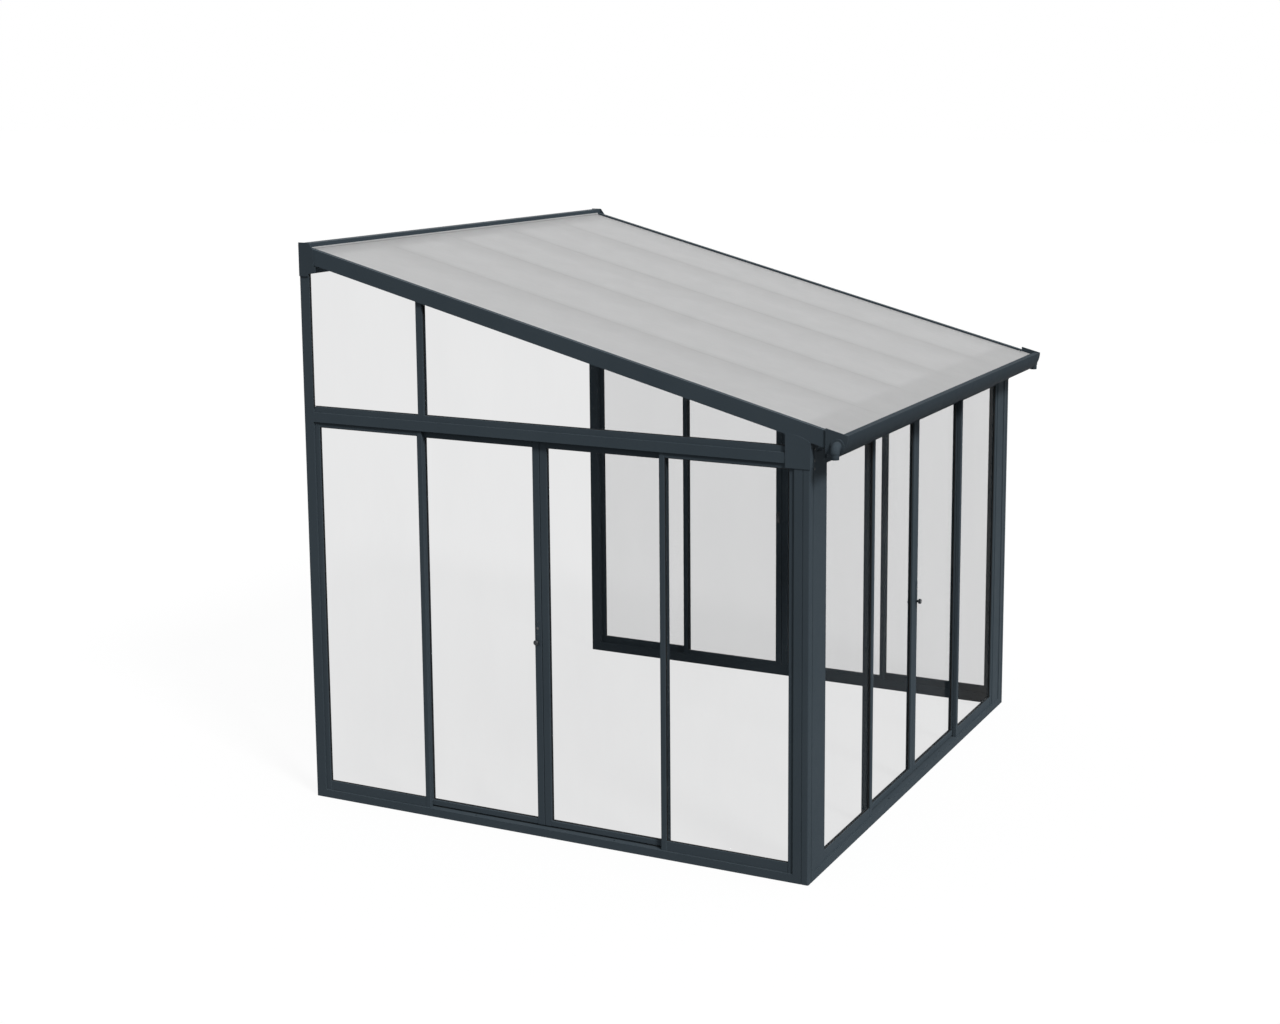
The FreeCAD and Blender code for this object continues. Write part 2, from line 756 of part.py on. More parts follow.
def wall_ledger():
    body = new_body("wall_ledger")

    def out(reach):
        return wall_y - reach

    def seat(reach):
        return wall_rise - size.roof_slope * reach

    web, shelf = size.ledger_web, size.shelf_reach
    section = [(wall_y, ledger_bottom), (wall_y, ledger_top), (out(web), ledger_top), (out(web), seat(web)),
               (out(shelf), seat(shelf)), (out(shelf), seat(shelf) - size.shelf_nose),
               (out(web), wall_rise - size.shelf_root), (out(web), ledger_bottom)]
    pad(body, "YZ", -half, size.width, [section])
    inner = size.hood_reach - size.hood_nose
    lip = ledger_top - size.hood_drop
    hood_low = ledger_top - size.hood_thick
    hood = [(out(web), ledger_top), (out(size.hood_reach), ledger_top), (out(size.hood_reach), lip),
            (out(inner), lip), (out(inner), hood_low), (out(web), hood_low)]
    pad(body, "YZ", -half, size.width, [hood])
    level = ledger_top - size.wall_bolt_drop
    drill(body, "XZ", [(count * panel_pitch, level, size.wall_bolt_radius) for count in bolt_bays])
    keep("wall_ledger", body)


def ledger_cap(side):
    body = new_body("ledger_cap")
    top = ledger_top + size.ledger_cap_edge
    low = ledger_bottom - size.ledger_cap_edge
    reach = size.ledger_cap_face
    face = wall_y - reach
    shoulder = underside(size.depth - reach) + size.rafter_seat + size.sheet_thick + size.cap_thick
    brow = wall_y - size.hood_reach - size.ledger_cap_edge
    tab_low = low + size.ledger_tab_place
    tab_top = tab_low + size.ledger_tab_height
    outline = [(wall_y, low), (wall_y, top), (brow, top), (face, shoulder),
               (face, tab_top), (face - size.ledger_tab, tab_top), (face - size.ledger_tab, tab_low),
               (wall_y - size.wall_post, low + size.ledger_tab), (wall_y - size.wall_post, low)]
    pad(body, "YZ", *across_wall(side, -size.ledger_cap_thick, 0), [outline])
    return body


# Transoms: sloped glazing between a gable's header and its rafter
def transom_mullion(side):
    body = new_body("transom_mullion")
    first = size.transom_place - size.transom_mullion / 2
    last = first + size.transom_mullion
    outline = [(behind(first), header_top), (behind(last), header_top), (behind(last), underside(last)),
               (behind(first), underside(first))]
    pad(body, "YZ", *across_wall(side, size.sill_inset, size.sill_inset + size.sill_depth), [outline])
    return body


def transom_panes(side):
    post_gap = size.pane_gap
    mid_low = size.transom_place - size.transom_mullion / 2 - post_gap
    mid_high = mid_low + size.transom_mullion + 2 * post_gap
    panes = []
    rear = size.depth - size.shelf_reach - post_gap
    for first, last in ((size.post_size + post_gap, mid_low), (mid_high, rear)):
        body = new_body("transom_pane")
        low, rise = header_top - size.pane_bite, size.pane_bite
        outline = [(behind(first), low), (behind(last), low), (behind(last), underside(last) + rise),
                   (behind(first), underside(first) + rise)]
        pad(body, "YZ", *across_wall(side, sill_line - glass_half, sill_line + glass_half), [outline])
        panes.append(body)
    return panes


# Gutter with its caps and outlets
gutter_floor = rafter_foot - size.gutter_drop
lip_height = gutter_floor + size.gutter_front


def bow_place(radius, drop):
    # how far out the bowed front is at that drop below its lip
    return size.gutter_reach - size.gutter_radius + (radius * radius - drop * drop).root()


def gutter():
    body = new_body("gutter")
    skin, bend = size.gutter_wall, size.gutter_bend
    back = size.rafter_overhang
    outer, inner = size.gutter_radius, size.gutter_radius - skin
    lip_end = size.gutter_reach - size.gutter_lip
    top = gutter_floor + size.gutter_back
    outline = [(behind(-back), top), (behind(-back), gutter_floor + bend, -bend),
               (behind(-back - bend), gutter_floor),
               (behind(-bow_place(outer, size.gutter_front)), gutter_floor, -outer),
               (behind(-size.gutter_reach), lip_height), (behind(-lip_end), lip_height),
               (behind(-lip_end), lip_height - skin),
               (behind(-bow_place(inner, skin)), lip_height - skin, inner),
               (behind(-bow_place(inner, size.gutter_front - skin)), gutter_floor + skin),
               (behind(-back - bend), gutter_floor + skin, bend - skin),
               (behind(-back - skin), gutter_floor + bend), (behind(-back - skin), top)]
    pad(body, "YZ", -half, size.width, [outline])
    keep("gutter", body)


def gutter_cap(side):
    body = new_body("gutter_cap")
    bend = size.gutter_bend
    back = size.rafter_overhang - size.gutter_cap_lap
    knee = size.gutter_reach - size.gutter_lip + bend
    crest = rafter_foot + size.gutter_cap_rise
    outline = [(behind(-back), crest), (behind(-knee), crest - size.roof_slope * (knee - back)),
               (behind(-size.gutter_reach), lip_height, size.gutter_radius),
               (behind(-bow_place(size.gutter_radius, size.gutter_front)), gutter_floor),
               (behind(-back - bend), gutter_floor, bend), (behind(-back), gutter_floor + bend)]
    outlet = behind(-size.outlet_place), rafter_foot - size.outlet_drop
    bore = *outlet, size.pipe_bore + size.stub_extra
    pad(body, "YZ", *across_wall(side, -size.gutter_cap_thick, 0), [outline], [bore])
    outer = -size.gutter_cap_thick - size.collar_thick
    collar = *outlet, size.collar_radius
    pad(body, "YZ", *across_wall(side, outer, -size.gutter_cap_thick), circles=[collar, bore])
    return body


def outlet_elbow(side):
    # stub from the collar with a closed end, and a shouldered spigot below it that takes the downpipe
    drop = size.elbow_reach + size.spigot_length
    shoulder = doc.addObject("Part::Cylinder", "elbow_shoulder")
    bind(shoulder, "Radius", size.pipe_radius + size.shoulder_extra)
    bind(shoulder, "Height", size.elbow_shoulder)
    bind(shoulder, "Placement.Base.x", size.elbow_reach)
    bind(shoulder, "Placement.Base.z", -size.elbow_shoulder)
    parts = {}
    for kind, radius in (("pipe", size.pipe_radius), ("bore", size.pipe_bore)):
        stub = doc.addObject("Part::Cylinder", f"elbow_stub_{kind}")
        bind(stub, "Radius", radius + size.stub_extra)
        bind(stub, "Height", size.elbow_reach + radius + size.stub_extra)
        stub.Placement.Rotation = FreeCAD.Rotation(FreeCAD.Vector(0, 1, 0), 90)
        spigot = doc.addObject("Part::Cylinder", f"elbow_spigot_{kind}")
        bind(spigot, "Radius", radius)
        bind(spigot, "Height", drop)
        bind(spigot, "Placement.Base.x", size.elbow_reach)
        bind(spigot, "Placement.Base.z", -drop)
        fuse = doc.addObject("Part::MultiFuse", f"elbow_{kind}")
        fuse.Shapes = [stub, spigot] + ([shoulder] if kind == "pipe" else [])
        parts[kind] = fuse
    elbow = doc.addObject("Part::Cut", "outlet_elbow")
    elbow.Base = parts["pipe"]
    elbow.Tool = parts["bore"]
    elbow.Placement.Rotation = FreeCAD.Rotation(FreeCAD.Vector(0, 0, 1), 0 if side > 0 else 180)
    bind(elbow, "Placement.Base.x", side * (half + size.gutter_cap_thick + size.collar_thick))
    bind(elbow, "Placement.Base.y", behind(-size.outlet_place))
    bind(elbow, "Placement.Base.z", rafter_foot - size.outlet_drop)
    return elbow


# Build, from the ground up
for name, wall in walls.items():
    base_track(name, wall)
    header(name, wall)
for name, side in sides.items():
    corner_post(name, side)
    front_jamb(name, side)
    wall_post(name, side)
    gable_rafter(name, side)
keep("corner_plates", *[corner_plate(name, side) for name, side in sides.items()])
for name, wall in walls.items():
    panels = [fixed_panel(wall, end, reach) for end, reach in ((-1, wall.low), (1, wall.high))]
    keep(f"fixed_frames_{name}", *[bar for bars, glass in panels for bar in bars])
    keep(f"fixed_panes_{name}", *[glass for bars, glass in panels])
    for end, place in zip((-1, 1), wall.doors):
        door(name, wall, end, place)
    latch(name, wall)
eaves_beam()
for number in range(1, panel_count):
    roof_rafter(number)
for number in range(1, panel_count + 1):
    roof_panel(number)
wall_ledger()
keep("ledger_caps", *[ledger_cap(side) for side in sides.values()])
keep("transom_mullions", *[transom_mullion(side) for side in sides.values()])
keep("transom_panes", *[glass for side in sides.values() for glass in transom_panes(side)])
gutter()
keep("gutter_caps", *[gutter_cap(side) for side in sides.values()])
keep("outlet_elbows", *[outlet_elbow(side) for side in sides.values()])

# Check everything, then write one file for each node
doc.recompute()
for item in doc.Objects:
    if "Invalid" in item.State or "Error" in item.State:
        raise RuntimeError(f"{item.Name} failed: {item.State}")
for node in nodes:
    if node.Shape.isNull() or not node.Shape.isValid():
        raise RuntimeError(f"{node.Label} has no valid shape")
for node in nodes:
    node.Shape.exportStep(f"parts/{node.Label}.step")
print(len(nodes), "nodes written")
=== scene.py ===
import math
import bpy
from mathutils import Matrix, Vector


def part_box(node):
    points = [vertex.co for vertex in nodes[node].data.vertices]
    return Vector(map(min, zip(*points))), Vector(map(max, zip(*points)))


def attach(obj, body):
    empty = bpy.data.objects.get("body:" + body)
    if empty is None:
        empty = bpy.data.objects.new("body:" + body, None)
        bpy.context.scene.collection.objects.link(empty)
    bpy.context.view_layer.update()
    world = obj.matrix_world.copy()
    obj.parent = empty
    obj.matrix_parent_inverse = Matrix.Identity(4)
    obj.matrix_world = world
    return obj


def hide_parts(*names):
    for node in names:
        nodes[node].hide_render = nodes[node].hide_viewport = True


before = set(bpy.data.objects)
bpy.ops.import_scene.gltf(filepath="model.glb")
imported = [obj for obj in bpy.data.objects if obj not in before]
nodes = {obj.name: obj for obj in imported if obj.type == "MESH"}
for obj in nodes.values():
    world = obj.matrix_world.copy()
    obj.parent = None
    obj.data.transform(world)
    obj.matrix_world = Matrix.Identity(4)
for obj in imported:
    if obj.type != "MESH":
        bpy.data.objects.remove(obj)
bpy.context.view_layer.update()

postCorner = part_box("corner_post_left")[0]          # outer front corner of the left post, on the ground
frontLine = postCorner.y                            # front face of the corner posts
sideLine = -postCorner.x                            # outer face of the gables, from the middle
lockOffset = 0.02075                                # from the slit between two doors to the lock's middle
latchHalf = 0.01345                                 # from the side of a latch to its middle
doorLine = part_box("latch_left")[0].y + latchHalf - lockOffset   # middle of a gable's doors
roofSlope = 0.257                                   # rise for each metre back
gables = (("Left", -1), ("Right", 1))
quarterTurn = math.radians(90)
print("frame loaded:", len(nodes), "nodes")


# node helpers: a socket that is given is linked, a number or a colour is set
def feed(tree, socket, value):
    if hasattr(value, "node"):
        tree.links.new(value, socket)
    else:
        socket.default_value = value


def combine(tree, operation, *values):
    step = tree.nodes.new("ShaderNodeMath")
    step.operation = operation
    for socket, value in zip(step.inputs, values):
        feed(tree, socket, value)
    return step.outputs[0]


def spread(tree, value, span, reach):
    # the span of a value drawn out to another reach, held at its ends
    remap = tree.nodes.new("ShaderNodeMapRange")
    labels = ("Value", "From Min", "From Max", "To Min", "To Max")
    for label, bound in zip(labels, (value, *span, *reach)):
        feed(tree, remap.inputs[label], bound)
    return remap.outputs["Result"]


def axes(tree, vector):
    split = tree.nodes.new("ShaderNodeSeparateXYZ")
    tree.links.new(vector, split.inputs[0])
    return split.outputs


def noise(tree, scale, detail, rough, stretch=None):
    place = tree.nodes.new("ShaderNodeTexCoord").outputs["Object"]
    if stretch:
        mapping = tree.nodes.new("ShaderNodeMapping")
        mapping.inputs["Scale"].default_value = stretch
        tree.links.new(place, mapping.inputs["Vector"])
        place = mapping.outputs["Vector"]
    grain = tree.nodes.new("ShaderNodeTexNoise")
    for label, value in (("Vector", place), ("Scale", scale), ("Detail", detail), ("Roughness", rough)):
        feed(tree, grain.inputs[label], value)
    return grain.outputs["Fac"]


def blendColour(tree, share, first, second):
    mix = tree.nodes.new("ShaderNodeMix")
    mix.data_type = "RGBA"
    factor = next(socket for socket in mix.inputs if socket.name == "Factor" and socket.type == "VALUE")
    colours = [socket for socket in mix.inputs if socket.type == "RGBA"]
    for socket, value in zip((factor, *colours), (share, first, second)):
        feed(tree, socket, value)
    return next(socket for socket in mix.outputs if socket.type == "RGBA")


def mixShaders(tree, share, first, second, out):
    mix = tree.nodes.new("ShaderNodeMixShader")
    for socket, source in zip(mix.inputs, (share, first.outputs[0], second.outputs[0])):
        tree.links.new(source, socket)
    tree.links.new(mix.outputs[0], out.inputs["Surface"])


def bump(tree, shader, height, strength, depth):
    raised = tree.nodes.new("ShaderNodeBump")
    for label, value in (("Strength", strength), ("Distance", depth), ("Height", height)):
        feed(tree, raised.inputs[label], value)
    tree.links.new(raised.outputs["Normal"], shader.inputs["Normal"])


def newMaterial(name):
    material = bpy.data.materials.new(name)
    material.use_nodes = True
    tree = material.node_tree
    return material, tree, tree.nodes["Principled BSDF"]


# studio: white surroundings, soft light from the front left, pale floor
studio = {
    "surroundLight": 0.40,        # what the white room adds to matt surfaces
    "surroundTint": (0.97, 0.985, 1.0, 1),
    "seenLight": 1,               # the room as it is seen, plain white
    "seenTint": (1, 1, 1, 1),
    "lamps": {                    # direction, strength, and spread in degrees for soft edges
        "frontKey": ((-0.38, -0.66, 0.65), 2.6, 12),
        "topFill": ((-0.10, -0.30, 0.95), 0.7, 40),
    },
    "floorSize": 240,
    "floorDrop": 0.0005,          # how far the floor lies below the frame's feet
    "floorColour": (0.95, 0.95, 0.95, 1),
    "floorBounce": (0.15, 0.15, 0.15, 1),   # what the floor sends up to the frame
    "floorWhite": 0.91,           # share of plain white seen on the floor
    "floorRough": 0.9,
    "floorGloss": 0.1,
}

scene = bpy.context.scene
scene.view_settings.view_transform = "Standard"


def seenRays(tree):
    # 1 for rays that show the surroundings: straight to the eye, by gloss or through glass
    path = tree.nodes.new("ShaderNodeLightPath").outputs
    eyeOrGloss = combine(tree, "MAXIMUM", path["Is Camera Ray"], path["Is Glossy Ray"])
    return combine(tree, "MAXIMUM", eyeOrGloss, path["Is Transmission Ray"])


def makeSurroundings():
    world = bpy.data.worlds.new("whiteRoom")
    scene.world = world
    world.use_nodes = True
    tree = world.node_tree
    tree.nodes.clear()
    rooms = []
    for kind in ("surround", "seen"):
        room = tree.nodes.new("ShaderNodeBackground")
        room.inputs["Color"].default_value = studio[f"{kind}Tint"]
        room.inputs["Strength"].default_value = studio[f"{kind}Light"]
        rooms.append(room)
    mixShaders(tree, seenRays(tree), *rooms, tree.nodes.new("ShaderNodeOutputWorld"))


def makeLamps():
    for name, (source, strength, softness) in studio["lamps"].items():
        lamp = bpy.data.lights.new(name, "SUN")
        lamp.energy = strength
        lamp.angle = math.radians(softness)
        holder = bpy.data.objects.new(name, lamp)
        scene.collection.objects.link(holder)
        holder.rotation_mode = "QUATERNION"
        holder.rotation_quaternion = Vector(source).to_track_quat("Z", "Y")


def makeFloor():
    bpy.ops.object.select_all(action="DESELECT")
    bpy.ops.mesh.primitive_plane_add(size=studio["floorSize"], location=(0, 0, -studio["floorDrop"]))
    floor = bpy.context.object
    floor.name = "studioFloor"
    paint, tree, shader = newMaterial("floorPaint")
    seen = seenRays(tree)
    tone = blendColour(tree, seen, studio["floorBounce"], studio["floorColour"])
    tree.links.new(tone, shader.inputs["Base Color"])
    shader.inputs["Roughness"].default_value = studio["floorRough"]
    shader.inputs["Specular IOR Level"].default_value = studio["floorGloss"]
    share = combine(tree, "MULTIPLY", seen, studio["floorWhite"])
    white = tree.nodes.new("ShaderNodeEmission")
    mixShaders(tree, share, shader, white, tree.nodes["Material Output"])
    floor.data.materials.append(paint)


# camera at the photograph's angle, from the left and a little above the roof
view = {
    "place": (-9.543, -4.6795, 3.721),
    "pan": 65.219,                # degrees from straight at the house wall, towards the right
    "tilt": 8.705,                # degrees down
    "lens": 54.672,
    "sensor": 36,
    "shift": (-0.08, -0.10),
    "farthest": 400,
}


def makeCamera():
    eye = bpy.data.cameras.new("photoEye")
    eye.sensor_width = view["sensor"]
    eye.lens = view["lens"]
    eye.shift_x, eye.shift_y = view["shift"]
    eye.clip_end = view["farthest"]
    holder = bpy.data.objects.new("photoEye", eye)
    scene.collection.objects.link(holder)
    holder.location = view["place"]
    holder.rotation_euler = (math.radians(90 - view["tilt"]), 0, -math.radians(view["pan"]))
    scene.camera = holder


makeSurroundings()
makeLamps()
makeFloor()
makeCamera()
print("studio ready")


# shared effects, as node groups
def newGroup(name, inputs, outputs):
    group = bpy.data.node_groups.new(name, "ShaderNodeTree")
    for label, kind, value in inputs:
        socket = group.interface.new_socket(name=label, in_out="INPUT", socket_type=kind)
        socket.default_value = value
    for label, kind in outputs:
        group.interface.new_socket(name=label, in_out="OUTPUT", socket_type=kind)
    return group, group.nodes.new("NodeGroupInput").outputs, group.nodes.new("NodeGroupOutput").inputs


def addGroup(tree, group, values):
    effect = tree.nodes.new("ShaderNodeGroup")
    effect.node_tree = group
    for label, value in values.items():
        feed(tree, effect.inputs[label], value)
    return effect.outputs


# cured coating: cloudy tone with specks, fine pebbled skin, gloss that changes a little
coating = {
    "cloud": {"scale": 2.3, "detail": 4, "rough": 0.55},
    "cloudSpan": (0.3, 0.7),
    "speck": {"scale": 420, "detail": 2, "rough": 0.6},
    "speckSpan": (0.45, 0.75),
    "speckShare": 0.35,
    "sheen": {"scale": 24, "detail": 3, "rough": 0.6},
    "sheenSpan": (0.3, 0.7),
    "skin": {"scale": 850, "detail": 2, "rough": 0.5},
    "skinDepth": 0.0004,
}


def makeCoatGrain():
    group, given, result = newGroup("coatGrain", [
        ("Tone", "NodeSocketColor", (0.03, 0.04, 0.05, 1)),
        ("Pale Tone", "NodeSocketColor", (0.04, 0.05, 0.06, 1)),
        ("Smooth", "NodeSocketFloat", 0.4),
        ("Dull", "NodeSocketFloat", 0.55),
    ], [("Color", "NodeSocketColor"), ("Roughness", "NodeSocketFloat"), ("Height", "NodeSocketFloat")])
    cloud = spread(group, noise(group, **coating["cloud"]), coating["cloudSpan"], (0, 1))
    speck = spread(group, noise(group, **coating["speck"]), coating["speckSpan"], (0, coating["speckShare"]))
    tone = blendColour(group, cloud, given["Tone"], given["Pale Tone"])
    tone = blendColour(group, speck, tone, given["Pale Tone"])
    sheen = noise(group, **coating["sheen"])
    group.links.new(tone, result["Color"])
    group.links.new(spread(group, sheen, coating["sheenSpan"], (given["Smooth"], given["Dull"])),
                    result["Roughness"])
    group.links.new(noise(group, **coating["skin"]), result["Height"])
    return group


# pale dust on faces that look up, and a little splash near the ground
dusting = {
    "colour": (0.16, 0.16, 0.155, 1),
    "ledgeSpan": (0.75, 0.98),    # how far up a face looks
    "splashSpan": (0.22, 0.0),    # height over the ground
    "patch": {"scale": 9, "detail": 5, "rough": 0.65},
    "patchSpan": (0.35, 0.7),
    "patchReach": (0.1, 1.0),
}


def makeGroundDust():
    group, given, result = newGroup("groundDust", [
        ("Color", "NodeSocketColor", (0.03, 0.04, 0.05, 1)),
        ("Dust", "NodeSocketColor", dusting["colour"]),
        ("Ledge", "NodeSocketFloat", 0.3),
        ("Splash", "NodeSocketFloat", 0.2),
    ], [("Color", "NodeSocketColor")])
    facing = group.nodes.new("ShaderNodeNewGeometry").outputs["Normal"]
    place = group.nodes.new("ShaderNodeTexCoord").outputs["Object"]
    up = spread(group, axes(group, facing)["Z"], dusting["ledgeSpan"], (0, given["Ledge"]))
    low = spread(group, axes(group, place)["Z"], dusting["splashSpan"], (0, given["Splash"]))
    patches = spread(group, noise(group, **dusting["patch"]), dusting["patchSpan"], dusting["patchReach"])
    dusty = combine(group, "MULTIPLY", combine(group, "MAXIMUM", up, low), patches)
    group.links.new(blendColour(group, dusty, given["Color"], given["Dust"]), result["Color"])
    return group


coatGrain = makeCoatGrain()
groundDust = makeGroundDust()


# coatings, mouldings, rubber, steel, foam and pile: one recipe, its own values for each finish
finishes = {
    "barCoating": {
        "tone": (0.0470, 0.0620, 0.0745, 1), "pale": (0.0530, 0.0690, 0.0820, 1),
        "smooth": 0.42, "dull": 0.54, "gloss": 0.005, "grain": 0.10, "ledge": 0.08, "splash": 0.02,
    },
    "roofCoating": {
        "tone": (0.0460, 0.0610, 0.0735, 1), "pale": (0.0520, 0.0680, 0.0810, 1),
        "smooth": 0.38, "dull": 0.50, "gloss": 0.005, "grain": 0.10, "ledge": 0.14, "splash": 0.0,
    },
    # darker copy of the bar coating: painted shade for the gutter's down-facing front
    "gutterCoating": {
        "tone": (0.0350, 0.0470, 0.0575, 1), "pale": (0.0400, 0.0525, 0.0635, 1),
        "smooth": 0.32, "dull": 0.44, "gloss": 0.0015, "grain": 0.08, "ledge": 0.03, "splash": 0.0,
    },
    "mouldedCap": {
        "tone": (0.0430, 0.0560, 0.0670, 1), "pale": (0.0480, 0.0620, 0.0735, 1),
        "smooth": 0.46, "dull": 0.60, "gloss": 0.005, "grain": 0.22, "ledge": 0.08, "splash": 0.0,
    },
    "shoeNylon": {
        "tone": (0.0110, 0.0115, 0.0120, 1), "pale": (0.0160, 0.0165, 0.0170, 1),
        "smooth": 0.34, "dull": 0.46, "gloss": 0.40, "grain": 0.15, "ledge": 0.12, "splash": 0.25,
    },
    "latchCoating": {
        "tone": (0.0150, 0.0190, 0.0230, 1), "pale": (0.0190, 0.0230, 0.0270, 1),
        "smooth": 0.28, "dull": 0.40, "gloss": 0.45, "grain": 0.06, "ledge": 0.06, "splash": 0.0,
    },
    "sealRubber": {
        "tone": (0.0120, 0.0125, 0.0130, 1), "pale": (0.0180, 0.0185, 0.0190, 1),
        "smooth": 0.55, "dull": 0.72, "gloss": 0.25, "grain": 0.25, "ledge": 0.20, "splash": 0.20,
    },
    "screwCoating": {
        "tone": (0.0560, 0.0660, 0.0740, 1), "pale": (0.0720, 0.0820, 0.0900, 1),
        "smooth": 0.34, "dull": 0.46, "gloss": 0.12, "grain": 0.05, "ledge": 0.05, "splash": 0.0,
    },
    "barrelSteel": {
        "tone": (0.0900, 0.0930, 0.0960, 1), "pale": (0.1200, 0.1230, 0.1260, 1), "metal": 1.0,
        "smooth": 0.22, "dull": 0.36, "gloss": 0.50, "grain": 0.05, "ledge": 0.0, "splash": 0.0,
    },
    "fillerFoam": {
        "tone": (0.4200, 0.4220, 0.4240, 1), "pale": (0.4700, 0.4720, 0.4740, 1),
        "smooth": 0.85, "dull": 0.95, "gloss": 0.10, "grain": 0.60, "ledge": 0.10, "splash": 0.0,
    },
    "brushPile": {
        "tone": (0.0200, 0.0205, 0.0210, 1), "pale": (0.0320, 0.0325, 0.0330, 1),
        "smooth": 0.80, "dull": 0.95, "gloss": 0.10, "grain": 0.80, "ledge": 0.10, "splash": 0.20,
    },
}


def makeFinish(name):
    look = finishes[name]
    material, tree, shader = newMaterial(name)
    coat = addGroup(tree, coatGrain, {
        "Tone": look["tone"], "Pale Tone": look["pale"], "Smooth": look["smooth"], "Dull": look["dull"],
    })
    dust = addGroup(tree, groundDust, {
        "Color": coat["Color"], "Ledge": look["ledge"], "Splash": look["splash"],
    })
    tree.links.new(dust["Color"], shader.inputs["Base Color"])
    tree.links.new(coat["Roughness"], shader.inputs["Roughness"])
    shader.inputs["Specular IOR Level"].default_value = look["gloss"]
    shader.inputs["Metallic"].default_value = look.get("metal", 0.0)
    bump(tree, shader, coat["Height"], look["grain"], coating["skinDepth"])
    return material


# clear sheets in the walls, a little grey, with faint smears and a slow waviness
clearSheet = {
    "tint": (0.805, 0.806, 0.808, 1),
    "deepTint": (0.787, 0.788, 0.791, 1),
    "smear": {"scale": 3.5, "detail": 5, "rough": 0.6, "stretch": (1, 1, 0.35)},
    "tintSpan": (0.3, 0.7),
    "roughSpan": (0.45, 0.8),
    "roughReach": (0.0, 0.035),   # from clean to smeared
    "index": 1.03,                # low, because the sheets hardly mirror the room
    "through": 1.0,
    "wave": {"scale": 4, "detail": 1, "rough": 0.4},
    "waveStrength": 0.05,
    "waveDepth": 0.002,
    "shade": (0.78, 0.78, 0.78, 1),   # light that goes on through one face
}

# hollow roof sheet: milky, lets blurred light through, flutes down the slope, and painted shade over the
# frame beneath
roofSheet = {
    "tint": (0.552, 0.552, 0.552, 1),
    "edgeTint": (0.490, 0.490, 0.490, 1),    # painted shade over the rafters, where no light comes from below
    "fluteTint": (0.533, 0.533, 0.533, 1),
    "flutePitch": 0.0598,
    "fluteRate": 20,              # radians to the metre that a wave texture runs at scale 1
    "fluteSpan": (0.86, 1.0),
    "fluteShare": 0.5,
    "fluteStrength": 0.06,
    "fluteDepth": 0.001,
    "sheetPitch": 0.610,
    "laneSoft": (0.26, 0.07),     # painted shade fades from a rafter's middle to the full lane, on its two sides
    "laneEnds": ((-1.30, -1.26), (1.37, 1.33)),   # where the lane starts and is full, at eaves and ledger; painted shade lies before it
    "haze": {"scale": 6, "detail": 4, "rough": 0.6},
    "hazeSpan": (0.3, 0.7),
    "roughReach": (0.46, 0.56),
    "index": 1.45,
    "through": 0.55,
    "shade": (0.78, 0.78, 0.78, 1),
}


def letLampsThrough(tree, shader, shade):
    # light on its way to other surfaces passes straight on, only dimmed
    path = tree.nodes.new("ShaderNodeLightPath").outputs
    onward = combine(tree, "MAXIMUM", path["Is Shadow Ray"], path["Is Diffuse Ray"])
    passing = tree.nodes.new("ShaderNodeBsdfTransparent")
    passing.inputs["Color"].default_value = shade
    mixShaders(tree, onward, shader, passing, tree.nodes["Material Output"])


def makeClearSheet():
    material, tree, shader = newMaterial("clearSheet")
    smear = noise(tree, **clearSheet["smear"])
    deep = spread(tree, smear, clearSheet["tintSpan"], (0, 1))
    tree.links.new(blendColour(tree, deep, clearSheet["tint"], clearSheet["deepTint"]),
                   shader.inputs["Base Color"])
    tree.links.new(spread(tree, smear, clearSheet["roughSpan"], clearSheet["roughReach"]),
                   shader.inputs["Roughness"])
    shader.inputs["IOR"].default_value = clearSheet["index"]
    shader.inputs["Transmission Weight"].default_value = clearSheet["through"]
    wave = noise(tree, **clearSheet["wave"])
    bump(tree, shader, wave, clearSheet["waveStrength"], clearSheet["waveDepth"])
    letLampsThrough(tree, shader, clearSheet["shade"])
    return material


def roofPaintedShadeLane(tree, place):
    # 1 in the middle of each sheet, falling off towards the rafters, the ledger and the eaves: the mask of
    # painted shade from the frame beneath
    where = axes(tree, place)
    pitch = roofSheet["sheetPitch"]
    left, right = roofSheet["laneSoft"]
    toRafter = combine(tree, "SUBTRACT", pitch / 2, where["X"])
    across = combine(tree, "WRAP", toRafter, pitch, 0)
    lane = combine(tree, "MULTIPLY", spread(tree, across, (0, left), (0, 1)),
                   spread(tree, across, (pitch - right, pitch), (1, 0)))
    for span in roofSheet["laneEnds"]:
        lane = combine(tree, "MULTIPLY", lane, spread(tree, where["Y"], span, (0, 1)))
    return lane


def makeRoofSheet():
    material, tree, shader = newMaterial("roofSheet")
    place = tree.nodes.new("ShaderNodeTexCoord").outputs["Object"]
    flutes = tree.nodes.new("ShaderNodeTexWave")
    flutes.wave_type = "BANDS"
    flutes.bands_direction = "X"
    flutes.wave_profile = "SIN"
    flutes.inputs["Scale"].default_value = 2 * math.pi / (roofSheet["fluteRate"] * roofSheet["flutePitch"])
    tree.links.new(place, flutes.inputs["Vector"])
    ribs = flutes.outputs["Fac"]
    fluted = spread(tree, ribs, roofSheet["fluteSpan"], (0, roofSheet["fluteShare"]))
    milky = blendColour(tree, fluted, roofSheet["tint"], roofSheet["fluteTint"])
    # painted shade: the darker tint outside the lanes, over the rafters, ledger and eaves
    tree.links.new(blendColour(tree, roofPaintedShadeLane(tree, place), roofSheet["edgeTint"], milky),
                   shader.inputs["Base Color"])
    haze = noise(tree, **roofSheet["haze"])
    tree.links.new(spread(tree, haze, roofSheet["hazeSpan"], roofSheet["roughReach"]),
                   shader.inputs["Roughness"])
    shader.inputs["IOR"].default_value = roofSheet["index"]
    shader.inputs["Transmission Weight"].default_value = roofSheet["through"]
    bump(tree, shader, ribs, roofSheet["fluteStrength"], roofSheet["fluteDepth"])
    letLampsThrough(tree, shader, roofSheet["shade"])
    return material


looks = {name: makeFinish(name) for name in finishes}
looks["clearSheet"] = makeClearSheet()
looks["roofSheet"] = makeRoofSheet()
print("materials ready:", len(looks))


